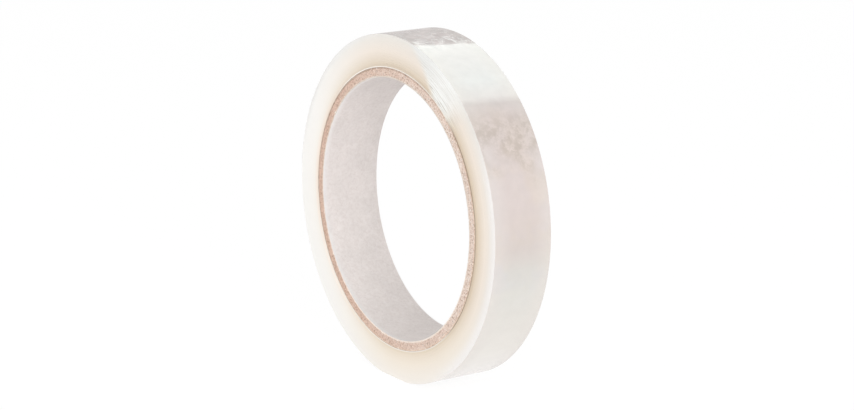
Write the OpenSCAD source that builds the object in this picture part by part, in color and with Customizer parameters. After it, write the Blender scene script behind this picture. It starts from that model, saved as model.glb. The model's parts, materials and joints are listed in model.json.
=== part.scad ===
// Roll of clear tape on a paper core, standing on its rim.
// The origin is the centre of the bore, the roll's axis lies along Y, and Z is up.
// Angles round the roll run from +X towards +Z, as seen from the -Y side.

/* [Tape] */
// Width of the tape
tape_w = 18.7; // [12:0.1:38]
// Outside diameter of the full roll
roll_d = 101; // [90:0.5:150]
// Thickness of the film and its adhesive together
film_t = 0.04; // [0.03:0.005:0.09]
// Turns of film in each loop that can be told apart on the side faces
loop_turns = 10; // [5:1:40]
// How far a loop may stray along the roll's axis
loop_stray = 0.05; // [0.01:0.01:0.09]
// Depth of the flat that the soft roll stands on
stand_flat = 0.5; // [0.1:0.1:1]

/* [Free end] */
// Where the free end starts to lift, as an angle round the roll
peel_angle = 150; // [100:1:200]
// Length of the free end past that line
tail_length = 24; // [9:0.5:45]
// Air under the free end where it lies on the roll
tail_gap = 0.02; // [0.01:0.01:0.06]

/* [Core] */
// Bore of the core
core_bore = 76.2; // [50:0.1:80]
// Thickness of the pale paper that lines the bore
liner_t = 0.4; // [0.2:0.05:0.8]
// Thickness of each kraft ply
ply_t = 0.4; // [0.3:0.02:0.8]
// Thickness of the paper round the outside of the core
cover_t = 0.4; // [0.2:0.05:0.8]
// How far the core stands out past the tape at each end
core_proud = 0.1; // [0.1:0.05:0.5]

/* [Core seams] */
// Gap between the two edges of a wound paper strip
seam_gap = 0.2; // [0.1:0.05:0.6]
// Slant of the strips' edges from the roll's axis
seam_slant = 55; // [20:1:60]
// Angle round the roll of the lining's seam
seam_first = 10; // [0:1:359]
// Angle from one ply's seam to the seam of the ply around it
seam_step = 75; // [30:1:110]

/* [Hidden] */
$fn = 96;

// Kraft plies between the lining and the cover
ply_count = 5;
// Links that the free end bends at
tail_links = 3;
// How far a cutting shape runs past what it cuts
past = 1;

bore_r = core_bore / 2;
core_w = tape_w + 2 * core_proud;
kraft_r = bore_r + liner_t;
cover_r = kraft_r + ply_count * ply_t;
core_r = cover_r + cover_t;
roll_r = roll_d / 2;

// A spiral is drawn as half turns about two centres that lie a quarter of its pitch from the axis.
// The cut between the half turns lies along the peel line.
loop_pitch = loop_turns * film_t;
side_loops = ceil((roll_r - core_r) / loop_pitch);
half_turns = 2 * side_loops + 3;
// The first loop starts inside the core, so that it rises through the core's surface at a slope
loop_start_r = core_r - 5 * loop_pitch / 4;
// Neighbouring loops share one film, so no two of them touch along a bare line
loop_lap = film_t;

// The free end carries on from the last half turn, about that half turn's own centre
tail_in_r = roll_r - 3 * film_t / 4 + tail_gap;
tail_out_r = tail_in_r + film_t;
link_angle = tail_length / tail_links / tail_out_r * 180 / PI;

liner_grey = [0.85, 0.82, 0.81];
kraft_brown = [0.84, 0.72, 0.64];
cover_buff = [0.88, 0.79, 0.70];
wound_milk = [0.95, 0.92, 0.87];
film_clear = [0.93, 0.94, 0.92, 0.6];

// Distance along the cut at which half turn j of a spiral begins
function half_turn_start(first, pitch, j) = first + j * pitch / 2;

// Shift of the centre of half turn j along the cut
function half_turn_shift(pitch, j) = (j % 2 == 0 ? -1 : 1) * pitch / 4;

// Where a loop ends up along the axis: the golden angle keeps neighbours unlike
function stray_of(j) = loop_stray * sin(137.5 * j);

// Lays a flat outline in the roll's plane and gives it a width along the axis
module across(width) {
  rotate([90, 0, 0])
    linear_extrude(height = width, center = true)
      children();
}

// Half of the roll's plane, on the side of the cut where half turn j lies
module half_plane(j) {
  reach = 2 * roll_d;
  rotate(peel_angle + 180 * (j % 2))
    translate([-reach / 2, 0])
      square([reach, reach / 2]);
}

// Disc under the outside of half turn j
module half_disc(j, r, pitch) {
  intersection() {
    rotate(peel_angle)
      translate([half_turn_shift(pitch, j), 0])
        circle(r = r);
    half_plane(j);
  }
}

// Outline of the roll under its last full turn, with one film's step at the peel line
module wound_outline() {
  for (j = [0, 1])
    half_disc(j, half_turn_start(roll_r - film_t, film_t, j) + film_t / 4, film_t);
}

// One half turn of a bundle of tape, seen from the side
module loop_half(j) {
  in_r = half_turn_start(loop_start_r, loop_pitch, j) + loop_pitch / 4;
  difference() {
    half_disc(j, in_r + loop_pitch + loop_lap, loop_pitch);
    rotate(peel_angle)
      translate([half_turn_shift(loop_pitch, j), 0])
        circle(r = in_r);
  }
}

// Tube of wound paper with the slanted slit where its two edges meet
module wound_ply(in_r, wall, seam_at) {
  slit_l = (core_w + 2 * past) / cos(seam_slant) + 2 * past;
  difference() {
    across(core_w)
      difference() {
        circle(r = in_r + wall);
        circle(r = in_r);
      }
    rotate([0, -seam_at, 0])
      rotate([seam_slant, 0, 0])
        translate([0, -slit_l / 2, -seam_gap / 2])
          cube([in_r + wall + past, slit_l, seam_gap]);
  }
}

module core_liner() {
  color(liner_grey)
    wound_ply(bore_r, liner_t, seam_first);
}

// Kraft ply i, counted from 1 at the lining
module core_ply(i) {
  color(kraft_brown)
    wound_ply(kraft_r + (i - 1) * ply_t, ply_t, seam_first + i * seam_step);
}

module core_cover() {
  color(cover_buff)
    wound_ply(cover_r, cover_t, seam_first + (ply_count + 1) * seam_step);
}

// The whole wound tape, with loops that stray a little to either side
module tape_winding() {
  color(wound_milk)
    difference() {
      intersection() {
        union() {
          for (j = [0 : half_turns - 1])
            translate([0, stray_of(j), 0])
              across(tape_w)
                loop_half(j);
        }
        across(tape_w + 2 * past)
          wound_outline();
      }
      across(tape_w + 2 * past)
        circle(r = core_r);
      translate([-roll_r, -tape_w, -roll_d - roll_r + stand_flat])
        cube([roll_d, 2 * tape_w, roll_d]);
    }
}

// Link i of the free end, counted from 0 at the peel line
module tail_link(i) {
  reach = tail_out_r + past;
  color(film_clear)
    across(tape_w)
      rotate(peel_angle)
        translate([half_turn_shift(film_t, 0), 0])
          rotate(i * link_angle)
            intersection() {
              difference() {
                circle(r = tail_out_r);
                circle(r = tail_in_r);
              }
              polygon([
                [0, 0],
                [reach, 0],
                [reach, reach * tan(link_angle)]
              ]);
            }
}

module tape_tail_root() { tail_link(0); }
module tape_tail_middle() { tail_link(1); }
module tape_tail_tip() { tail_link(2); }

core_liner();
for (i = [1 : ply_count])
  core_ply(i);
core_cover();
tape_winding();
tape_tail_root();
tape_tail_middle();
tape_tail_tip();
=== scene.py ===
# %% [markdown]
# # A roll of clear tape, standing on its rim
# The imported CAD model is the fixed frame of this lesson: it says where each piece is and how it
# moves. Every finish and every fine shape is made here, in metres, in the same frame. The bore's
# centre is the origin, the roll's axis lies along Y and Z is up.

# %% Load the frame
import json
import math

import bmesh
import bpy
import numpy as np
from mathutils import Matrix, Vector, noise


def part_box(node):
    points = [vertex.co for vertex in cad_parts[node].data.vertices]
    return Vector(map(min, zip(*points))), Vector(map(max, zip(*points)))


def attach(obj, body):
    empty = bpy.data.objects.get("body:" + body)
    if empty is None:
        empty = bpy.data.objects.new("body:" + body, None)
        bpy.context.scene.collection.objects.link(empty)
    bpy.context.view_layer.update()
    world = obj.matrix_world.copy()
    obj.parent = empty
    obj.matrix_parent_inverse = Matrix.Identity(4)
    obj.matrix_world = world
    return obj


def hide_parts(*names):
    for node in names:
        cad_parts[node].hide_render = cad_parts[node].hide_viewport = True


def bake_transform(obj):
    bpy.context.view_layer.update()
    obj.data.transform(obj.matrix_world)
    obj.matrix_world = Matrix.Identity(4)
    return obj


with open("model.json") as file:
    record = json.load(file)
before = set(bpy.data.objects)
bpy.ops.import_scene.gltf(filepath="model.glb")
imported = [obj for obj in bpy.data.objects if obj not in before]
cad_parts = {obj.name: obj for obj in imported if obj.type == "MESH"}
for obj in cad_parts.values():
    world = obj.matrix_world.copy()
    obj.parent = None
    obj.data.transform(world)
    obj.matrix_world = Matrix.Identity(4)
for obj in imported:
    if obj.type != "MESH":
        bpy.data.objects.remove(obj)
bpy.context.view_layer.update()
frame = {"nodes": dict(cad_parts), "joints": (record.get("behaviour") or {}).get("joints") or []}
MM = 0.001
scene = bpy.context.scene
scene.view_settings.view_transform = "Standard"

# %% [markdown]
# ## Sizes come from the frame
# A tube's radii can be read off its CAD mesh, because the corners of that mesh lie on the true
# circles. Reading them keeps this lesson right when the part's sizes change. Angles round the roll
# run from +X towards +Z, as they do in the CAD source. The frame lists the joints of the free end
# from the peel line outward, so the first of them gives the peel line's angle.

# %% Read the sizes of the roll
def radii(node):
    """Least and greatest distance of a CAD node from the roll's axis."""
    flat = np.array([(v.co.x, v.co.z) for v in frame["nodes"][node].data.vertices])
    far = np.hypot(flat[:, 0], flat[:, 1])
    return float(far.min()), float(far.max())


core_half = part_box("core_liner")[1].y
tape_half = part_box("tape_tail_root")[1].y
bore_r = radii("core_liner")[0]
core_r = radii("core_cover")[1]
roll_r = radii("tape_winding")[1]
stand_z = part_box("tape_winding")[0].z
bends = [math.atan2(j["pos_m"][2], j["pos_m"][0]) % (2 * math.pi) for j in frame["joints"]]
peel_at = bends[0]
print("bore %.2f, core %.2f, roll %.2f mm radius" % (bore_r / MM, core_r / MM, roll_r / MM))
print("peel line at %.1f degrees" % math.degrees(peel_at))

# %% [markdown]
# ## The camera
# The photograph looks at the roll from its right and a little above. Its ellipses give the camera:
# with the bore's size known, the shape of the rims sets the direction, and how much the near rim
# is larger than the far rim sets the distance. We place the camera by its three axes, because
# that needs no tracking and no target. A small lens shift puts the roll where it is in the picture.

# %% Place the camera
AZIMUTH, ELEVATION = math.radians(56.34), math.radians(13.91)
DISTANCE, NEAREST = 0.7496, 0.01
SENSOR_MM, LENS_MM = 36, 109.8
SHIFT_X, SHIFT_Y = 0.00755, 0.0005
back = Vector((
    math.sin(AZIMUTH) * math.cos(ELEVATION),
    -math.cos(AZIMUTH) * math.cos(ELEVATION),
    math.sin(ELEVATION),
))
image_right = Vector((math.cos(AZIMUTH), math.sin(AZIMUTH), 0))
image_up = back.cross(image_right)
camera = bpy.data.objects.new("camera", bpy.data.cameras.new("camera"))
scene.collection.objects.link(camera)
view_axes = Matrix((image_right, image_up, back)).transposed().to_4x4()
camera.matrix_world = Matrix.Translation(back * DISTANCE) @ view_axes
camera.data.sensor_width, camera.data.lens = SENSOR_MM, LENS_MM
camera.data.shift_x, camera.data.shift_y = SHIFT_X, SHIFT_Y
camera.data.clip_start = NEAREST
scene.camera = camera
print("camera %.0f mm from the roll" % (DISTANCE / MM))

# %% [markdown]
# ## Nodes without clutter
# Every finish below is a small tree of nodes. One helper adds a node, sets its options, and fills
# its inputs from plain values or from the outputs of other nodes. That keeps each finish readable
# as a recipe, from the pattern to the shader.

# %% A helper that adds a node
def add(tree, kind, inputs=None, **options):
    """A new node with its options set and its inputs filled by values or other nodes' outputs."""
    made = tree.nodes.new(kind)
    for key, value in options.items():
        setattr(made, key, value)
    for key, value in (inputs or {}).items():
        if isinstance(value, bpy.types.NodeSocket):
            tree.links.new(value, made.inputs[key])
        else:
            made.inputs[key].default_value = value
    return made


def math_node(tree, operation, a, b=0.0):
    """The output of one sum on two values or outputs."""
    return add(tree, "ShaderNodeMath", {0: a, 1: b}, operation=operation).outputs[0]


# %% [markdown]
# ## Studio: white surroundings
# The roll stands in a white studio. Soft light from all round comes from the world. Rays from the
# camera, from gloss and through clear film see plain white, so that the film shows the same
# background as the picture. Soft light is set apart from that, at a level that makes a colour
# render about as it is written.

# %% The world
SOFT_LIGHT, PLAIN_WHITE = 0.60, 1.0
WHITE = (1, 1, 1, 1)


def straight_rays(tree):
    """1 for rays from the camera, from gloss or through clear film, and 0 for soft light."""
    rays = add(tree, "ShaderNodeLightPath").outputs
    seen = math_node(tree, "MAXIMUM", rays["Is Camera Ray"], rays["Is Glossy Ray"])
    return math_node(tree, "MAXIMUM", seen, rays["Is Transmission Ray"])


world = bpy.data.worlds.new("studio")
world.use_nodes = True
scene.world = world
sky = world.node_tree
sky.nodes.clear()
soft = add(sky, "ShaderNodeBackground", {"Color": WHITE, "Strength": SOFT_LIGHT})
plain = add(sky, "ShaderNodeBackground", {"Color": WHITE, "Strength": PLAIN_WHITE})
either = add(sky, "ShaderNodeMixShader", {
    0: straight_rays(sky), 1: soft.outputs[0], 2: plain.outputs[0],
})
add(sky, "ShaderNodeOutputWorld", {"Surface": either.outputs[0]})
print("soft light", SOFT_LIGHT)

# %% [markdown]
# ## Studio: the floor
# A pale floor carries the roll. To straight rays it glows at almost white and keeps a small share
# of real shading, so the shadow under the rim stays as a faint grey. To soft light it is an
# ordinary white floor that bounces light up under the roll. A shadow catcher would need the
# compositor, and a plain white floor would turn grey towards its far edge.

# %% A finish and a card for the studio
def new_finish(name):
    """A new material with an empty node tree."""
    made = bpy.data.materials.new(name)
    made.use_nodes = True
    made.node_tree.nodes.clear()
    return made, made.node_tree


def surface(tree, shader):
    """Hands a shader to the material's output."""
    add(tree, "ShaderNodeOutputMaterial", {"Surface": shader.outputs[0]})


def flat_card(name, corners, material):
    """A four-cornered card for the studio, which is not part of the roll."""
    mesh = bpy.data.meshes.new(name)
    mesh.from_pydata(corners, [], [(0, 1, 2, 3)])
    mesh.materials.append(material)
    card = bpy.data.objects.new(name, mesh)
    scene.collection.objects.link(card)
    return card


# %% The floor
FLOOR_PAINT, FLOOR_BOUNCE = 0.90, 0.12
FLOOR_SHADE, FLOOR_GLOW = 0.14, 0.91
FLOOR_REACH, FLOOR_DROP = 3.0, 0.02 * MM


def glowing_paint(tree, level, glow):
    """Grey paint that also glows white."""
    paint = add(tree, "ShaderNodeBsdfDiffuse", {"Color": (level, level, level, 1)})
    shine = add(tree, "ShaderNodeEmission", {"Color": WHITE, "Strength": glow})
    return add(tree, "ShaderNodeAddShader", {0: paint.outputs[0], 1: shine.outputs[0]}).outputs[0]


floor_finish, tree = new_finish("studio_floor")
surface(tree, add(tree, "ShaderNodeMixShader", {
    0: straight_rays(tree),
    1: glowing_paint(tree, FLOOR_PAINT, FLOOR_BOUNCE),
    2: glowing_paint(tree, FLOOR_SHADE, FLOOR_GLOW),
}))
floor_z = stand_z - FLOOR_DROP
quarters = [(-1, -1), (1, -1), (1, 1), (-1, 1)]
flat_card("studio_floor", [(FLOOR_REACH * x, FLOOR_REACH * y, floor_z) for x, y in quarters],
          floor_finish)
print("floor at %.2f mm" % (floor_z / MM))

# %% [markdown]
# ## Studio: the softbox and the flag
# The bright band across the tape is a long softbox that hangs over and behind the roll. Gloss
# works like a mirror: the band's two edges on the round face tell at which angles the softbox
# begins and ends. A grey flag behind the roll gives the darker strip along the top of the tape.
# Both are cards that only gloss can see, so they shape the reflections and leave the light alone.

# %% A glow that changes along a card
def rescale(tree, value, low, high, start=0.0, end=1.0):
    """A value moved evenly from one range to another, and held at the ends."""
    return add(tree, "ShaderNodeMapRange", {
        0: value, 1: low, 2: high, 3: start, 4: end,
    }).outputs[0]


def ramp_of(tree, share, stops):
    """A colour ramp through (position, colour) stops, which are given in order."""
    made = add(tree, "ShaderNodeValToRGB", {0: share})
    for stop, (at, colour) in zip(made.color_ramp.elements, (stops[0], stops[-1])):
        stop.position, stop.color = at, (*colour, 1)
    for at, colour in stops[1:-1]:
        made.color_ramp.elements.new(at).color = (*colour, 1)
    return made.outputs[0]


def glowing(name, tone, levels, side, start, end):
    """A glow whose strength follows levels evenly between two places along a direction."""
    made, tree = new_finish(name)
    place = add(tree, "ShaderNodeTexCoord").outputs["Object"]
    across = add(tree, "ShaderNodeVectorMath", {0: place, 1: side}, operation="DOT_PRODUCT")
    share = rescale(tree, across.outputs["Value"], start, end)
    peak, steps = max(levels), len(levels) - 1
    curve = ramp_of(tree, share, [(i / steps, (n / peak,) * 3) for i, n in enumerate(levels)])
    strength = math_node(tree, "MULTIPLY", curve, peak)
    surface(tree, add(tree, "ShaderNodeEmission", {"Color": (*tone, 1), "Strength": strength}))
    return made


# %% Hang the softbox and the flag
def card_axes(turn, along):
    """Three axes of a card that faces the roll: outward, round the roll and along it."""
    across = math.sqrt(1 - along * along)
    out = Vector((across * math.cos(turn), along, across * math.sin(turn)))
    side = Vector((0, 1, 0)).cross(out).normalized()
    return out, side, out.cross(side)


def gloss_card(name, turn, along, far, corners, tone, levels, start, end):
    """A card by its corners in millimetres round and along the roll, seen by gloss alone."""
    out, side, rise = card_axes(math.radians(turn), along)
    ends = [out * far + (side * a + rise * b) * MM for a, b in corners]
    card = flat_card(name, ends, glowing(name + "_glow", tone, levels, side, start, end))
    for ray in ("camera", "diffuse", "transmission", "shadow"):
        setattr(card, "visible_" + ray, False)
    return card


softbox = gloss_card(
    "softbox", turn=109, along=0.56, far=0.30,
    corners=[(-247, -60), (175, -60), (200, 60), (103, 60)], tone=(0.905, 1.0, 0.96),
    levels=[3.4, 3.4, 3.4, 3.5, 3.6, 3.8, 3.9, 4.0, 3.8, 3.6, 0.3], start=-0.13, end=0.187)
flag = gloss_card(
    "grey_flag", turn=169, along=0.53, far=0.40,
    corners=[(-260, -160), (330, -160), (330, 200), (-260, 200)], tone=(1.0, 0.96, 0.945),
    levels=[0.76, 0.76], start=-1.0, end=1.0)
print("hung:", softbox.name, flag.name)

# %% [markdown]
# ## Studio: two lamps
# The world alone would light the roll from all round and leave it flat. One lamp in front lights
# the side face, and one at the right lights the round face and the bore. Square area lamps give
# soft borders to their light, as the paper screens of a studio do.

# %% Lamps
def lamp(name, place, size, energy):
    """A square soft lamp that points at the roll."""
    made = bpy.data.objects.new(name, bpy.data.lights.new(name, "AREA"))
    scene.collection.objects.link(made)
    made.data.size, made.data.energy = size, energy
    made.location = place
    made.rotation_mode = "QUATERNION"
    made.rotation_quaternion = made.location.to_track_quat("Z", "Y")
    return made


side_key = lamp("side_key", place=(-0.20, -0.62, -0.04), size=0.35, energy=1.6)
face_key = lamp("face_key", place=(0.95, -0.30, 0.20), size=0.60, energy=3.6)
print("lamps:", side_key.name, face_key.name)

# %% [markdown]
# ## Meshes from rings of points
# Every piece of a tape roll is something swept round an axis: a paper strip, a film, a bundle of
# turns. So one recipe is enough: a grid of points, one column for each step round the roll, with
# neighbours joined by four-cornered faces. A modifier such as Screw could sweep a profile too, but
# it can't change the profile on the way, and here every step differs a little.

# %% Helpers for swept meshes
def ring_point(angle, r, y):
    """Points on circles round the roll's axis."""
    return np.stack([r * np.cos(angle), y + 0 * angle, r * np.sin(angle)], axis=-1)


def sweep_faces(columns, rows):
    """Faces between neighbouring columns of a grid of points whose rows close to a loop."""
    c, r = np.meshgrid(np.arange(columns - 1), np.arange(rows), indexing="ij")
    n = (r + 1) % rows
    corners = [c * rows + r, c * rows + n, (c + 1) * rows + n, (c + 1) * rows + r]
    return np.stack(corners, axis=-1).reshape(-1, 4).tolist()


def capped_faces(columns, rows):
    """Faces of a sweep with one more face over its first column and one over its last."""
    last = (columns - 1) * rows
    return sweep_faces(columns, rows) + [list(range(rows)), list(range(last, last + rows))]


# %% Helpers that make a piece and roughen it
SEED_X, SEED_Y = 17.3, 9.1


def new_piece(name, points, faces, sharp, weld=0.0):
    """A mesh object with outward faces, smooth except along edges sharper than the angle."""
    mesh = bpy.data.meshes.new(name)
    mesh.from_pydata(points.tolist(), [], faces)
    shape = bmesh.new()
    shape.from_mesh(mesh)
    if weld:
        bmesh.ops.remove_doubles(shape, verts=shape.verts, dist=weld)
        bmesh.ops.dissolve_degenerate(shape, edges=shape.edges, dist=weld / 4)
    bmesh.ops.recalc_face_normals(shape, faces=shape.faces)
    open_edges = sum(not e.is_manifold for e in shape.edges)
    shape.to_mesh(mesh)
    shape.free()
    mesh.shade_smooth()
    mesh.set_sharp_from_angle(angle=math.radians(sharp))
    piece = bpy.data.objects.new(name, mesh)
    scene.collection.objects.link(piece)
    counts = len(mesh.vertices), len(mesh.polygons), open_edges
    print(name, "%d points, %d faces, %d open edges" % counts)
    return piece


def wobble(x, y, z, seed):
    """Smooth noise between about -1 and 1 at each of many places."""
    spots = np.stack(np.broadcast_arrays(x, y, z), axis=-1).astype(float)
    places = spots.reshape(-1, 3)
    flat = [noise.noise((a + SEED_X * seed, b - SEED_Y * seed, c)) for a, b, c in places]
    return np.array(flat).reshape(spots.shape[:-1])


# %% [markdown]
# ## Patterns that the finishes share
# Paper and tape are uneven in the same few ways: they have specks, soft borders and tones that
# change from place to place. A few helpers make those from nodes. Painted images could do it too,
# but they need unwrapping. Noise in object space needs none, and it runs on unbroken round an
# edge, as fibres do.

# %% Helpers for patterns
NOISE_SPAN = (0.3, 0.7)


def speckle(tree, place, scale, detail, roughness=0.5, distortion=0.0, **options):
    """Noise between 0 and 1 over a place, most of it inside NOISE_SPAN."""
    return add(tree, "ShaderNodeTexNoise", {
        "Vector": place, "Scale": scale, "Detail": detail, "Roughness": roughness,
        "Distortion": distortion,
    }, **options).outputs["Fac"]


def between(tree, value, low, high):
    """0 below one value, 1 above another, and smooth from the first to the second."""
    return add(tree, "ShaderNodeMapRange", {
        0: value, 1: low, 2: high, 3: 0.0, 4: 1.0,
    }, interpolation_type="SMOOTHSTEP").outputs[0]


def times(tree, a, b):
    """The product of two values or outputs."""
    return math_node(tree, "MULTIPLY", a, b)


def mix(tree, share, a, b):
    """A colour between two colours or outputs."""
    a, b = [c if isinstance(c, bpy.types.NodeSocket) else (*c, 1) for c in (a, b)]
    return add(tree, "ShaderNodeMix", {0: share, 6: a, 7: b}, data_type="RGBA").outputs[2]


def brighten(tree, colour, level):
    """A colour made lighter or darker by a level."""
    return add(tree, "ShaderNodeHueSaturation", {"Color": colour, "Value": level}).outputs[0]


def axis_distance(tree, place):
    """How far a place is from the roll's axis."""
    flat = add(tree, "ShaderNodeVectorMath", {0: place, 1: (1, 0, 1)}, operation="MULTIPLY")
    length = add(tree, "ShaderNodeVectorMath", {0: flat.outputs[0]}, operation="LENGTH")
    return length.outputs["Value"]


# %% [markdown]
# ## Wear and painted light on the paper
# A core is handled and sawn, so its paper is not the same all over: its near end is worn pale
# along an uneven line, and pale tufts of fibre stand out along the inner edge of the kraft board.
# Its tone also changes slowly from one side to the other, which is painted light and shade: the
# kraft ring is paler towards the right, and the lining darker towards the top of the bore. Each of
# these is a change of colour by the place on the core, in a function of its own, so that every
# paper can take the ones it needs.

# %% Painted side light and shade, worn end and frayed edge
WORN_PAPER, WORN_BELOW, WORN_ABOVE, WORN_WANDER = (0.96, 0.93, 0.92), 1.6 * MM, 0.3 * MM, 0.6 * MM
FRAYED_FIBRE, TUFT_REACH, TUFT_SCALE = (0.97, 0.89, 0.81), 2.4 * MM, 750.0


def side_light_and_shade(tree, place, colour, toward, low, high):
    """A colour times a tone that changes slowly from one side of the core to the other: painted
    light and shade.
    """
    along = add(tree, "ShaderNodeVectorMath", {0: place, 1: toward}, operation="DOT_PRODUCT")
    tone = mix(tree, between(tree, along.outputs["Value"], -core_r, core_r), low, high)
    return add(tree, "ShaderNodeMix", {0: 1.0, 6: colour, 7: tone},
               data_type="RGBA", blend_type="MULTIPLY").outputs[2]


def worn_end(tree, place, colour, cloud, worn):
    """A colour worn pale at the near end of the core, along an uneven line."""
    y = add(tree, "ShaderNodeSeparateXYZ", {0: place}).outputs["Y"]
    torn = math_node(tree, "SUBTRACT", times(tree, cloud, WORN_WANDER), y)
    rubbed_and_glint = between(tree, torn, core_half - WORN_BELOW, core_half + WORN_ABOVE)
    return mix(tree, times(tree, rubbed_and_glint, worn), colour, WORN_PAPER)


def frayed_edge(tree, place, colour, edge_r):
    """A colour with pale tufts of fibre along a round inner edge."""
    tufts = times(tree, speckle(tree, place, scale=TUFT_SCALE, detail=3.0), TUFT_REACH)
    ragged = math_node(tree, "ADD", axis_distance(tree, place), tufts)
    pale = between(tree, ragged, edge_r + TUFT_REACH / 2, edge_r + TUFT_REACH / 3)
    return mix(tree, pale, colour, FRAYED_FIBRE)


# %% [markdown]
# ## Paper finishes
# The core is paper, and paper is never one colour. Kraft board has long fibres, dark flecks and
# pale bits, all well under a millimetre. We mix three noises at those scales into the colour, and
# let the fibres raise the surface a little. The lining is a smoother, greyer paper, so it takes
# the same recipe with colours that lie closer together.

# %% Make a paper finish
FIBRE_DARK, FIBRE_MID, FIBRE_PALE, FIBRE_HEIGHT = 0.34, 0.5, 0.68, 0.12 * MM
CLOUD_SCALE, CLOUD_LEVELS = 160.0, (0.965, 1.03)
SPECK_SCALE, SPECK_SPAN, SPECK_SHARE = 2100.0, (0.63, 0.71), 0.8


def paper_finish(name, dark, mid, pale, fleck, grain, toward, low, high, worn=0.0, fray_r=0.0):
    """Paper with fibres from dark to pale, flecks, painted light and shade from side to side and,
    where asked for, wear.
    """
    made, tree = new_finish(name)
    place = add(tree, "ShaderNodeTexCoord").outputs["Object"]
    fibres = speckle(tree, place, scale=grain, detail=5.0, roughness=0.72, distortion=0.6)
    stops = [(FIBRE_DARK, dark), (FIBRE_MID, mid), (FIBRE_PALE, pale)]
    cloud = speckle(tree, place, scale=CLOUD_SCALE, detail=3.0)
    level = rescale(tree, cloud, *NOISE_SPAN, *CLOUD_LEVELS)
    uneven = brighten(tree, ramp_of(tree, fibres, stops), level)
    side_shaded = side_light_and_shade(tree, place, uneven, toward, low, high)
    specks = speckle(tree, place, scale=SPECK_SCALE, detail=2.0)
    flecked = rescale(tree, specks, *SPECK_SPAN, 0.0, SPECK_SHARE)
    colour = mix(tree, flecked, side_shaded, fleck)
    if worn:
        colour = worn_end(tree, place, colour, cloud, worn)
    if fray_r:
        colour = frayed_edge(tree, place, colour, fray_r)
    bump = add(tree, "ShaderNodeBump", {
        "Height": fibres, "Strength": 0.35, "Distance": FIBRE_HEIGHT,
    })
    surface(tree, add(tree, "ShaderNodeBsdfPrincipled", {
        "Base Color": colour, "Normal": bump.outputs[0], "Roughness": 0.8,
        "Specular IOR Level": 0.25,
    }))
    return made


# %% The four papers of the core
# The toward, low and high tones paint light and shade by side: the kraft ring paler towards the
# right, the outer paper paler towards the lower right, and the lining and its cut edge darker
# towards the top of the bore.
kraft_edge = paper_finish(
    "kraft_board", dark=(0.36, 0.22, 0.15), mid=(0.86, 0.632, 0.505), pale=(0.96, 0.85, 0.76),
    fleck=(0.18, 0.10, 0.075), grain=2100.0, toward=(1, 0, 0.15), low=(0.875, 0.83, 0.82),
    high=(1.01, 1.10, 1.18), fray_r=radii("core_ply_1")[0])
kraft_cover = paper_finish(
    "cover_paper", dark=(0.32, 0.20, 0.14), mid=(0.56, 0.40, 0.31), pale=(0.66, 0.56, 0.48),
    fleck=(0.97, 0.93, 0.89), grain=1300.0, toward=(-0.8, 0, 0.6), low=(1.5, 1.6, 1.65),
    high=(1.0, 1.0, 1.02))
liner_grey = paper_finish(
    "liner_paper", dark=(0.80, 0.735, 0.715), mid=(0.86, 0.80, 0.78), pale=(0.91, 0.855, 0.84),
    fleck=(0.81, 0.745, 0.725), grain=1000.0, toward=(0, 0, 1), low=(1.06, 1.065, 1.055),
    high=(0.95, 0.945, 0.94), worn=0.7)
liner_edge = paper_finish(
    "liner_edge", dark=(0.86, 0.72, 0.60), mid=(0.97, 0.88, 0.79), pale=(0.99, 0.95, 0.91),
    fleck=(0.99, 0.97, 0.95), grain=1700.0, toward=(0, 0, 1), low=(0.98, 0.95, 0.94),
    high=(0.80, 0.78, 0.77))
print("paper finishes:", kraft_edge.name, kraft_cover.name, liner_grey.name, liner_edge.name)

# %% [markdown]
# ## The paper core
# The core is a tube of paper strips wound over each other on a slant, so each ply has a slanted
# seam where its two edges meet, and a saw has cut the tube to length. Each ply is swept as a
# rounded section from one edge of its seam to the other. The cut ends are roughened, because torn
# fibres stand up there, and that rough ring is what the photograph shows of the core.

# %% Sweep one ply of the core
SEAM_SLANT, SEAM_GAP = math.radians(55), 0.2 * MM
STEPS_ROUND, WALL_POINTS, END_POINTS = 420, 9, 5
CORNER = 0.05 * MM
TEAR_SIZE, FINER, TEAR_ALONG = 0.55 * MM, 2.3, 90
MEAN_TEAR, ROUGH_TEAR, FINE_TEAR, MOST_TEAR = 0.55, 0.45, 0.3, 1.2


def ply_section(r_in, r_out):
    """Section of a ply as (radius, length along the axis, is it on a cut end), as a closed loop."""
    walls = np.linspace(-core_half + CORNER, core_half - CORNER, WALL_POINTS)
    ends = np.linspace(r_in + CORNER, r_out - CORNER, END_POINTS)
    loop = [(r_in, y, 0) for y in walls] + [(r, core_half, 1) for r in ends]
    loop += [(r_out, y, 0) for y in walls[::-1]] + [(r, -core_half, 1) for r in ends[::-1]]
    return np.array(loop)


def torn_share(angle, r, y, seed):
    """How far the saw has torn each point of a cut end, as a share of the usual depth."""
    x, z = r * np.cos(angle), r * np.sin(angle)
    scale = 1 / TEAR_SIZE
    rough = wobble(x * scale, z * scale, y * TEAR_ALONG, seed)
    fine = wobble(x * scale * FINER, z * scale * FINER, y * TEAR_ALONG, seed + 5)
    return (MEAN_TEAR + ROUGH_TEAR * rough + FINE_TEAR * fine).clip(0, MOST_TEAR)


def wound_ply(name, node, seam_at, torn):
    """A paper tube with a slanted seam and roughly cut ends."""
    r_in, r_out = radii(node)
    section = ply_section(r_in, r_out)
    r, y, cut = section[None, :, 0], section[None, :, 1], section[None, :, 2]
    gap = SEAM_GAP / math.cos(SEAM_SLANT) / r_out
    turn = np.linspace(gap / 2, 2 * math.pi - gap / 2, STEPS_ROUND)[:, None]
    angle = seam_at + np.arcsin(y * math.tan(SEAM_SLANT) / r) + turn
    seed = round(r_in / MM * 10)
    y = y - np.sign(y) * cut * torn * torn_share(angle, r, y, seed)
    points = ring_point(angle, r + 0 * angle, y).reshape(-1, 3)
    piece = new_piece(name, points, capped_faces(STEPS_ROUND, section.shape[0]), sharp=50)
    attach(piece, "roll")
    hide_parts(node)
    return piece


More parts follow.
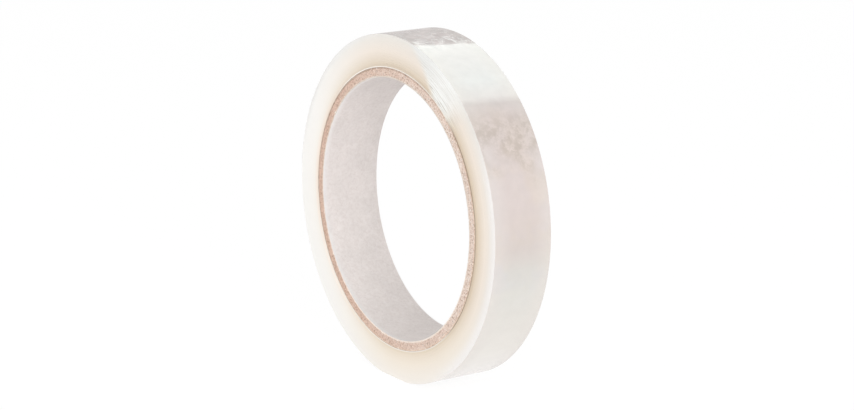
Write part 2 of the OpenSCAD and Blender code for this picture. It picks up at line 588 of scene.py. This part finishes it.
# %% Sweep the kraft plies and the outer paper
PLIES = ["core_ply_1", "core_ply_2", "core_ply_3", "core_ply_4", "core_ply_5"]
SEAM_FIRST, SEAM_STEP = math.radians(10), math.radians(75)
KRAFT_TEAR, COVER_TEAR = 0.035 * MM, 0.06 * MM
for i, node in enumerate(PLIES, start=1):
    ply = wound_ply("kraft_ply_%d" % i, node, SEAM_FIRST + i * SEAM_STEP, KRAFT_TEAR)
    ply.data.materials.append(kraft_edge)
cover_seam = SEAM_FIRST + (len(PLIES) + 1) * SEAM_STEP
cover = wound_ply("outer_paper", "core_cover", cover_seam, COVER_TEAR)
cover.data.materials.append(kraft_cover)

# %% [markdown]
# The lining is smoother paper, pale grey on its face, and its cut edge is almost white with a
# ragged line. It is the same sweep, with a second finish on the faces of the cut ends.

# %% Sweep the lining
LINER_TEAR, CUT_END_DEEP = 0.13 * MM, 0.25 * MM
liner = wound_ply("bore_lining", "core_liner", SEAM_FIRST, LINER_TEAR)
liner.data.materials.append(liner_grey)
liner.data.materials.append(liner_edge)
for face in liner.data.polygons:
    face.material_index = int(abs(face.center.y) > core_half - CUT_END_DEEP)

# %% [markdown]
# ## The wound tape: how the strip strays
# On the real roll one strip of film, about 0.04 mm thick, is wound some 240 times round the core.
# From the side the turns show as fine rings, because the strip strays a little to either side as
# it is wound. We draw the strip as a true spiral of bundles of about four turns, and each bundle
# sits where the strip happened to be at that place along its length. A texture could paint rings,
# but only real steps catch the light and keep their shape when one looks along them.

# %% How the strip strays as it is wound
FILM = 0.04 * MM
LOOPS = 56
CORE_GROOVE, RIM_ROUND = 0.08 * MM, 0.05 * MM
first_r = core_r + CORE_GROOVE
last_r = roll_r - FILM
rings_r = last_r - RIM_ROUND
pitch = (rings_r - first_r) / LOOPS
SAW_LOOPS, SAW_RISE = 2.6, 0.85
SAW_OUTSIDE, SAW_AT_CORE, SAW_FADE = 0.015, 0.13, 10.0
SLOW_STRAY, SLOW_RATE = 0.020, 0.23
LOOP_STRAY, LOOP_RATE = 0.015, 1.7
BURR_OUTSIDE, BURR_AT_CORE, BURR_FADE = 0.012, 0.075, 16.0
BURR_MEAN, BURR_SWING, BURR_RATE = 0.65, 0.5, 0.9


def stray(length):
    """Shift of the strip along the roll's axis, by how many loops of it are wound."""
    slow = wobble(length * SLOW_RATE, 0.4, 0.1, 1)
    turns = wobble(length * LOOP_RATE, 2.4, 0.6, 2)
    saw = (length / SAW_LOOPS) % 1.0
    pulled = np.where(saw < SAW_RISE, saw / SAW_RISE, (1 - saw) / (1 - SAW_RISE))
    reach = SAW_OUTSIDE + SAW_AT_CORE * np.exp(-length / SAW_FADE)
    return (SLOW_STRAY * slow + LOOP_STRAY * turns - reach * pulled) * MM


def burr(length):
    """How far the outer edge of each loop stands out past its inner edge."""
    near_core = np.exp(-length / BURR_FADE)
    uneven = BURR_MEAN + BURR_SWING * wobble(length * BURR_RATE, 7.1, 3.3, 4)
    return (BURR_OUTSIDE + BURR_AT_CORE * near_core * uneven) * MM


print("loop pitch %.3f mm" % (pitch / MM))

# %% [markdown]
# ## The wound tape: its section
# The section of the roll has two points on each bundle of turns, on both side faces. The faces
# stray together, because the strip keeps its width. The first and the last bundle run out to
# nothing at the peel line, as they do in any spiral. A groove parts the tape from the core, and
# the first turns lean over it with a small lip.

# %% The side rings of one column
RUN_OUT, LAST_SWAY = 0.35, 0.012 * MM


def side_rings(share):
    """Radius, shift and burr of a side face's rings, at a share of a turn past the peel line."""
    turn = np.arange(LOOPS + 1)
    inner = np.clip(first_r + pitch * (turn - 1 + share), first_r, rings_r)
    outer = np.clip(first_r + pitch * (turn + share), first_r, rings_r)
    full = np.clip((outer - inner) / (RUN_OUT * pitch), 0, 1)
    last = stray(np.array([float(LOOPS)]))[0] + LAST_SWAY * math.sin(math.pi * share) ** 2
    next_in = np.where(turn == 0, stray(turn + 1 + share), last)
    at = next_in + (stray(turn + share) - next_in) * full
    out_burr = burr(turn + share) * np.where(turn == 0, full, 1)
    in_burr = np.where(turn == 0, 0, burr(turn + share) * (1 - full))
    r = np.stack([inner, outer], axis=1).ravel()
    return r, np.repeat(at, 2), np.stack([in_burr, out_burr], axis=1).ravel(), last


# %% The whole section of one column
OUTER_ROWS = 11
LIP, LIP_LOOPS, LIP_MEAN, LIP_WAVES = 0.06 * MM, 1.8, 0.7, 2.5
GROOVE_DEEP, GROOVE_IN, GROOVE_OUT = 0.35 * MM, 0.03 * MM, 0.02 * MM
RIM_CUT = 0.3 * RIM_ROUND


def tape_section(share):
    """Radius and place along the axis of every point of the roll's section at one column."""
    r, at, edge, last = side_rings(share)
    out_r = last_r + FILM * share
    turn = 2 * math.pi * share
    wave_x, wave_y = LIP_WAVES * math.cos(turn), LIP_WAVES * math.sin(turn)
    lean = LIP_MEAN + wobble(wave_x, wave_y, 0.0, 8).item()
    lip_at = LIP * max(0.0, lean) * np.clip(LIP_LOOPS - (r - first_r) / pitch, 0, 1)
    groove_r = [core_r - GROOVE_IN, first_r - GROOVE_OUT]
    side_r = np.concatenate([groove_r, r, [out_r - RIM_CUT]])
    shift = np.concatenate([[0, 0], at, [last]])
    proud = np.concatenate([[-GROOVE_DEEP, -GROOVE_DEEP], lip_at + edge, [-RIM_CUT]])
    near_y = -tape_half + shift - proud
    far_y = tape_half + shift + proud
    wall = np.linspace(-tape_half + RIM_ROUND, tape_half - RIM_ROUND, OUTER_ROWS) + last
    section_r = np.concatenate([side_r, np.full(OUTER_ROWS, out_r), side_r[::-1]])
    return section_r, np.concatenate([near_y, wall, far_y[::-1]])


# %% [markdown]
# ## The wound tape: the sweep
# The sections are swept once round the roll, from the peel line back to the peel line. There the
# last film ends in a step one film high, and a strip of faces closes it. The outer face swells by
# a few thousandths of a millimetre, because film is never wound quite flat, and the soft roll is
# pressed flat where it stands. Where bundles run out their points meet, so they are welded.

# %% Sweep the wound tape
ROUND = 300
SWELL, SWELL_SIZE = 0.006 * MM, 9 * MM
WELD = 0.0008 * MM
columns = [tape_section(c / ROUND) for c in range(ROUND + 1)]
rows = len(columns[0][0])
side_rows = (rows - OUTER_ROWS) // 2
section_r = np.array([c[0] for c in columns])
section_y = np.array([c[1] for c in columns])
angle = peel_at + 2 * math.pi * np.arange(ROUND + 1)[:, None] / ROUND
outside = slice(side_rows, side_rows + OUTER_ROWS)
spots = ring_point(angle, section_r, section_y)[:, outside]
swell = wobble(*(np.moveaxis(spots, -1, 0) / SWELL_SIZE), 11)
wavy = np.zeros((ROUND + 1, rows))
wavy[:, outside] = SWELL * (swell - 1) * np.sin(np.linspace(0, math.pi, OUTER_ROWS))
points = ring_point(angle, section_r + wavy, section_y).reshape(-1, 3)
points[:, 2] = np.maximum(points[:, 2], stand_z)
faces = sweep_faces(ROUND + 1, rows)
for m in range(side_rows - 2, side_rows + OUTER_ROWS + 1):
    faces.append([m, m + 1, ROUND * rows + m + 1, ROUND * rows + m])
winding = new_piece("wound_tape", points, faces, sharp=12, weld=WELD)
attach(winding, "roll")
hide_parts("tape_winding")

# %% [markdown]
# ## Side faces: the core's tint and painted light
# Wound clear tape looks milky, because light is turned a little at every layer, and the brown of
# the core glows through the layers nearest to it. A block of real clear layers would need very
# many samples and would still be grainy. So that glow is painted into the colour by the distance
# from the core: deep tan where the core lies behind, which is the core's tint with painted shade,
# and almost white on the side that light comes through, which is painted light. The rim has a
# painted highlight at the right and painted shade at the upper left.

# %% Colours with painted light and shade from the core to the rim
LIT_THROUGH = [
    (0.0, (0.95, 0.82, 0.70)), (0.08, (0.965, 0.87, 0.78)), (0.2, (0.98, 0.935, 0.875)),
    (0.4, (0.985, 0.955, 0.91)), (1.0, (0.985, 0.972, 0.943)),
]
OVER_CORE = [
    (0.0, (0.73, 0.62, 0.495)), (0.15, (0.82, 0.715, 0.585)), (0.5, (0.925, 0.84, 0.75)),
    (1.0, (0.875, 0.845, 0.80)),
]
BELOW_CORE = [
    (0.0, (0.82, 0.715, 0.56)), (0.12, (0.885, 0.785, 0.655)), (0.4, (0.935, 0.855, 0.745)),
    (1.0, (0.955, 0.915, 0.86)),
]
# The rim colours are painted shade at the upper left and a painted highlight at the right.
SHADED_RIM, LIT_RIM = (0.885, 0.875, 0.85), (0.965, 0.935, 0.915)


def core_tint_and_light(tree, x, z, depth):
    """The core's tan in the milky layers with painted shade, and painted light that makes it almost
    white at the left.
    """
    upper = between(tree, z, -36 * MM, -14 * MM)
    tan = mix(tree, upper, ramp_of(tree, depth, BELOW_CORE), ramp_of(tree, depth, OVER_CORE))
    warm_top = times(tree, between(tree, z, 0.0, 30 * MM), 10 * MM)
    right = between(tree, math_node(tree, "ADD", x, warm_top), -38 * MM, 2 * MM)
    return mix(tree, right, ramp_of(tree, depth, LIT_THROUGH), tan)


def rim_shade_and_highlight(tree, x, z, depth, colour):
    """A colour with painted shade on the rim at the upper left and a painted highlight on it at the
    right.
    """
    left_top = times(tree, between(tree, z, 2 * MM, 26 * MM), between(tree, x, -6 * MM, -24 * MM))
    grey = times(tree, between(tree, depth, 0.78, 1.0), left_top)
    lower = between(tree, z, 32 * MM, 12 * MM)
    right_side = times(tree, lower, between(tree, x, 16 * MM, 34 * MM))
    lit = times(tree, between(tree, depth, 0.6, 1.0), right_side)
    return mix(tree, lit, mix(tree, grey, colour, SHADED_RIM), LIT_RIM)


# %% [markdown]
# ## Side faces: painted glints and the border to the core
# At the upper right the softbox is reflected in the edges of the turns, as pale lines with darker
# gaps; these are a painted highlight. A noise that is fine across the turns and long round the roll
# gives such lines. Where the tape meets the core there is a thin line, painted shade in the groove
# at the right and a painted highlight on the first turns elsewhere. It is too thin for more
# geometry than the groove that is there already, so it is one more colour.

# %% Painted glints and border
STREAK_LEAN, STREAK_TOP, STREAK_TOP_R, STREAK_SOFT = 2.0, 66.5, 44, 3.5
STREAKS_BEGIN, STREAKS_FULL = 40.0, 55.0
STREAKS_PER_MM, STREAKS_PER_DEGREE = 4.6, 0.06
# The glint colours are a painted highlight: pale lines and their darker gaps.
GLINT_GAP, GLINT_BRIGHT, GLINT_DULL = (0.66, 0.63, 0.575), (0.99, 0.99, 0.965), (0.92, 0.92, 0.90)
# The border line is painted: shade in the groove at the right, a highlight on the first turns
# elsewhere.
BORDER_HIGHLIGHT, BORDER_SHADE = (0.985, 0.925, 0.85), (0.46, 0.34, 0.25)
BORDER_AT, BORDER_RISE, BORDER_SOFT = 0.028, 0.006, 0.006


def painted_glints(tree, r_mm, turn, depth, colour):
    """A colour with a painted highlight at the upper right: pale lines where the softbox is
    reflected, with darker gaps.
    """
    tilted = math_node(tree, "SUBTRACT", turn, times(tree, r_mm, STREAK_LEAN))
    top = STREAK_TOP - STREAK_TOP_R * STREAK_LEAN
    upper_end = between(tree, tilted, top + STREAK_SOFT, top - STREAK_SOFT)
    zone = times(tree, upper_end, between(tree, turn, STREAKS_BEGIN, STREAKS_FULL))
    stretched = add(tree, "ShaderNodeCombineXYZ", {
        0: times(tree, r_mm, STREAKS_PER_MM), 1: times(tree, turn, STREAKS_PER_DEGREE),
    }).outputs[0]
    rubbed_and_glint = speckle(tree, stretched, scale=1.0, detail=2.0, roughness=0.6,
                     noise_dimensions="2D")
    plain_rim = rescale(tree, depth, 0.25, 1.0, 0.0, 0.9)
    lines = math_node(tree, "MAXIMUM", between(tree, rubbed_and_glint, 0.40, 0.47), plain_rim)
    upper_rim = times(tree, between(tree, turn, 56.0, 70.0), between(tree, depth, 0.2, 0.7))
    pale = mix(tree, upper_rim, GLINT_BRIGHT, GLINT_DULL)
    return mix(tree, zone, colour, mix(tree, lines, GLINT_GAP, pale))


def core_border(tree, x, z, depth, colour):
    """A colour with the thin line where the tape meets the core: painted shade at the right and a
    painted highlight elsewhere.
    """
    rise = times(tree, between(tree, z, 0.0, 25 * MM), BORDER_RISE)
    past_line = math_node(tree, "SUBTRACT", depth, math_node(tree, "ADD", BORDER_AT, rise))
    line = between(tree, past_line, BORDER_SOFT, -BORDER_SOFT)
    tone = mix(tree, between(tree, x, 25 * MM, 32 * MM), BORDER_HIGHLIGHT, BORDER_SHADE)
    not_left = between(tree, x, -34 * MM, -20 * MM)
    shown = math_node(tree, "MAXIMUM", not_left, between(tree, z, 4 * MM, -14 * MM))
    return mix(tree, times(tree, line, shown), colour, tone)


# %% [markdown]
# ## Side faces: the whole finish
# The parts are laid over each other, from the core's tint and painted light to the border. A noise
# by radius alone then makes every ring a little lighter or darker, and a little more or less
# glossy, as cut edges of film are. The colours, with their painted light, shade and highlights, stay
# where they are painted, and only the gloss follows the light: it comes from the shader and from
# the steps between the rings.

# %% Finish of the side faces
RINGS_PER_MM, RING_SPAN = 5.5, (0.25, 0.75)
RING_LEVELS, RING_ROUGHNESS = (0.985, 1.012), (0.12, 0.25)
edge_finish, tree = new_finish("tape_edges")
place = add(tree, "ShaderNodeTexCoord").outputs["Object"]
axes = add(tree, "ShaderNodeSeparateXYZ", {0: place}).outputs
x, z = axes["X"], axes["Z"]
r_mm = times(tree, axis_distance(tree, place), 1 / MM)
turn = times(tree, math_node(tree, "ARCTAN2", z, x), 180 / math.pi)
depth = rescale(tree, r_mm, first_r / MM, roll_r / MM)
colour = rim_shade_and_highlight(tree, x, z, depth, core_tint_and_light(tree, x, z, depth))
colour = core_border(tree, x, z, depth, painted_glints(tree, r_mm, turn, depth, colour))
ring = add(tree, "ShaderNodeTexNoise", {
    "W": times(tree, r_mm, RINGS_PER_MM), "Scale": 1.0, "Detail": 4.0, "Roughness": 0.75,
}, noise_dimensions="1D").outputs["Fac"]
surface(tree, add(tree, "ShaderNodeBsdfPrincipled", {
    "Base Color": brighten(tree, colour, rescale(tree, ring, *RING_SPAN, *RING_LEVELS)),
    "Roughness": rescale(tree, ring, *NOISE_SPAN, *RING_ROUGHNESS), "IOR": 1.5,
}))
winding.data.materials.append(edge_finish)
print("side faces:", edge_finish.name)

# %% [markdown]
# ## Outer face: tones, painted light and patches
# Through the clear outer turns one looks into the milky roll, and its tone changes with height,
# from a pale foot over a grey-green and a pink zone to the top. A ramp over the height gives
# that: partly the roll's own tint, partly painted light and shade, as the pale foot is painted light
# from the floor and high up it is painted neutral where the softbox is reflected. Towards both rims
# it is evened out with painted light, because light comes in there. Two slow hues and small patches
# keep it from looking painted.

# %% Tones with painted light and shade by height, hues and patches
# Tones by height: the roll's own tint with painted light and shade.
TONE_AND_SHADE_BY_HEIGHT = [
    (0.0, (0.87, 0.76, 0.70)), (0.03, (0.93, 0.86, 0.82)), (0.09, (0.95, 0.915, 0.88)),
    (0.165, (0.895, 0.86, 0.81)), (0.23, (0.855, 0.82, 0.77)), (0.29, (0.815, 0.787, 0.738)),
    (0.35, (0.787, 0.78, 0.735)), (0.42, (0.705, 0.715, 0.69)), (0.48, (0.66, 0.60, 0.585)),
    (0.545, (0.725, 0.625, 0.56)), (0.61, (0.755, 0.65, 0.605)), (0.82, (0.80, 0.70, 0.66)),
    (0.91, (0.81, 0.80, 0.78)), (1.0, (0.87, 0.79, 0.765)),
]
# The rim tone is painted light, where light comes in at both rims.
RIM_LIGHT_TONE, RIM_SHARE = (0.85, 0.80, 0.755), 0.6
PINKER, YELLOWER, HUE_SHARE = (0.785, 0.71, 0.705), (0.82, 0.725, 0.655), 0.4
PATCH_LOW, PATCH_HIGH, PATCH_ON_TOP = 0.012, 0.03, 0.13


def tone_and_shade_by_height(tree, axes):
    """The tone of the outer face at each height with painted light and shade, evened out with
    painted light towards both rims.
    """
    height = rescale(tree, axes["Z"], -roll_r, roll_r)
    along = math_node(tree, "ABSOLUTE", axes["Y"])
    rim = times(tree, between(tree, along, 0.3 * tape_half, tape_half), RIM_SHARE)
    return mix(tree, rim, ramp_of(tree, height, TONE_AND_SHADE_BY_HEIGHT), RIM_LIGHT_TONE)


def slow_hues(tree, z, drift, colour):
    """A colour that drifts between two hues over the middle heights."""
    hues = mix(tree, between(tree, drift, 0.38, 0.62), PINKER, YELLOWER)
    lower_end = between(tree, z, -24 * MM, -4 * MM)
    middle = times(tree, between(tree, z, 40 * MM, 30 * MM), lower_end)
    return mix(tree, times(tree, middle, HUE_SHARE), colour, hues)


def mottle(tree, place, z):
    """A level with small patches, which are stronger higher up and strongest along the top."""
    cloud = speckle(tree, place, scale=330.0, detail=2.5, roughness=0.55)
    patches = rescale(tree, cloud, *NOISE_SPAN, -1.0, 1.0)
    upper = rescale(tree, z, 0.0, 25 * MM, PATCH_LOW, PATCH_HIGH)
    wrinkled = times(tree, between(tree, z, 47.6 * MM, 49.2 * MM), PATCH_ON_TOP)
    strength = math_node(tree, "ADD", upper, wrinkled)
    return math_node(tree, "ADD", times(tree, patches, strength), 1.0)


# %% [markdown]
# ## Outer face: stains and creases
# Under the bright band the adhesive shows as brownish blotches with a lower border that wanders,
# which is a noise mixed in between two heights. Along the top the film has sharp creases. A crease
# is thin and bends gloss, so it is drawn where a noise crosses its middle value, as a pale line
# that also raises the surface; the pale line is a painted highlight.

# %% Stains and creases
STAIN_PALE, STAIN_DARK, STAIN_SHARE = (0.80, 0.70, 0.655), (0.55, 0.47, 0.40), 0.58
STAIN_WANDER = 30 * MM
CREASE_WIDE = 0.07


def band_stains(tree, place, z, drift, colour):
    """A colour with brownish blotches under the bright band."""
    blotch = speckle(tree, place, scale=380.0, detail=6.0, roughness=0.75, distortion=0.15)
    tones = mix(tree, between(tree, blotch, 0.36, 0.62), STAIN_PALE, STAIN_DARK)
    wander = times(tree, math_node(tree, "SUBTRACT", drift, 0.5), STAIN_WANDER)
    lower_end = between(tree, math_node(tree, "ADD", z, wander), 15 * MM, 28 * MM)
    under_band = times(tree, lower_end, between(tree, z, 36.5 * MM, 29 * MM))
    return mix(tree, times(tree, under_band, STAIN_SHARE), colour, tones)


def top_creases(tree, place, z, pull):
    """How strong a crease is at each place, which is nothing below the top of the roll."""
    vein = speckle(tree, place, scale=260.0, detail=4.0, roughness=0.65, distortion=0.8)
    off_line = math_node(tree, "ABSOLUTE", math_node(tree, "SUBTRACT", vein, 0.5))
    pulled = between(tree, pull, 0.40, 0.55)
    on_top = times(tree, between(tree, z, 48.7 * MM, 49.5 * MM), pulled)
    return times(tree, between(tree, off_line, CREASE_WIDE, 0.0), on_top)


# %% [markdown]
# ## Outer face: the whole finish
# The outer face is the smoothest part of the roll, so its shader is almost a mirror at low angles
# and shows the softbox as a bright band. A weak, slow bump pulls the band's borders a little out
# of line, as uneven winding does. Only faces on the outside of the roll get this finish.

# %% Finish of the outer face
CREASE_HIGHLIGHT, CREASE_SHARE, CREASE_RISE = (0.99, 0.95, 0.93), 0.6, 2.6
PULL_HEIGHT, FACE_DEEP = 0.02 * MM, 0.06 * MM
face_finish, tree = new_finish("tape_face")
place = add(tree, "ShaderNodeTexCoord").outputs["Object"]
axes = add(tree, "ShaderNodeSeparateXYZ", {0: place}).outputs
z = axes["Z"]
drift = speckle(tree, place, scale=110.0, detail=2.0)
pull = speckle(tree, place, scale=300.0, detail=1.0)
crease = top_creases(tree, place, z, pull)
colour = slow_hues(tree, z, drift, tone_and_shade_by_height(tree, axes))
colour = band_stains(tree, place, z, drift, colour)
# The pale crease lines are a painted highlight.
colour = mix(tree, times(tree, crease, CREASE_SHARE), colour, CREASE_HIGHLIGHT)
raised = math_node(tree, "ADD", pull, times(tree, crease, CREASE_RISE))
bump = add(tree, "ShaderNodeBump", {"Height": raised, "Strength": 1.0, "Distance": PULL_HEIGHT})
surface(tree, add(tree, "ShaderNodeBsdfPrincipled", {
    "Base Color": brighten(tree, colour, mottle(tree, place, z)), "Roughness": 0.07, "IOR": 1.5,
    "Normal": bump.outputs[0],
}))
winding.data.materials.append(face_finish)
for face in winding.data.polygons:
    far = Vector((face.center.x, face.center.z)).length
    face.material_index = int(far > roll_r - FACE_DEEP and abs(face.normal.y) < 0.5)
print("outer face:", sum(f.material_index for f in winding.data.polygons), "faces")

# %% [markdown]
# ## The free end: clear film
# The end of the strip lies on the roll at the back, past the line where it starts to lift. A film
# this thin does not bend light like a block of glass, so it is made clear by its alpha. Most light
# then passes straight through it, and the roll under it is hardly darkened. A little haze varies
# its gloss, as finger marks do.

# %% Clear film
FILM_DULL, FILM_PALE = (0.93, 0.92, 0.895), (0.97, 0.96, 0.94)
FILM_HAZE, FILM_ALPHA = (0.03, 0.16), 0.3
film_finish, tree = new_finish("clear_film")
place = add(tree, "ShaderNodeTexCoord").outputs["Object"]
cloud = speckle(tree, place, scale=260.0, detail=4.0)
surface(tree, add(tree, "ShaderNodeBsdfPrincipled", {
    "Base Color": mix(tree, cloud, FILM_DULL, FILM_PALE),
    "Roughness": rescale(tree, cloud, *NOISE_SPAN, *FILM_HAZE), "IOR": 1.47,
    "Alpha": FILM_ALPHA,
}))
print("film finish:", film_finish.name)

# %% [markdown]
# ## The free end: three strips
# Film bends, and a body of the frame can't. So the free end is three strips, one for each CAD body
# of the free end, which is hidden in its place. They lie on the roll from the peel line and meet
# halfway between the joints.

# %% Sweep one strip of the free end
FILM_STEPS, FILM_ROWS = 28, 9
LIFT, FILM_GAP = 0.02 * MM, 0.001 * MM
link_turn = bends[1] - bends[0]


def film_strip(name, start, end):
    """A strip of film that lies on the roll between two angles."""
    turn = np.linspace(start, end, FILM_STEPS)[:, None]
    raised = LIFT * np.clip((turn - peel_at) / (link_turn / 3), 0, 1)
    low = last_r + raised + FILM_GAP
    across = np.linspace(-tape_half, tape_half, FILM_ROWS)[None, :]
    under, over = np.repeat(low, FILM_ROWS, 1), np.repeat(low + FILM, FILM_ROWS, 1)
    r = np.concatenate([under, over], axis=1)
    y = np.concatenate([across, across[:, ::-1]], axis=1)
    points = ring_point(turn + 0 * r, r, y).reshape(-1, 3)
    piece = new_piece(name, points, capped_faces(FILM_STEPS, 2 * FILM_ROWS), sharp=40)
    piece.data.materials.append(film_finish)
    return piece


# %% Lay the free end on the roll
STRIPS = {
    "free_end_root": "tape_tail_root",
    "free_end_middle": "tape_tail_middle",
    "free_end_tip": "tape_tail_tip",
}


film_end = peel_at + len(STRIPS) * link_turn
halfway = [peel_at + (i + 0.5) * link_turn for i in range(len(STRIPS))]
cuts = [peel_at, *halfway[:2], film_end]
for i, (name, node) in enumerate(STRIPS.items()):
    strip = film_strip(name, cuts[i], cuts[i + 1])
    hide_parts(node)
    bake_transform(strip)
print("free end from %.1f to %.1f degrees" % (math.degrees(peel_at), math.degrees(film_end)))
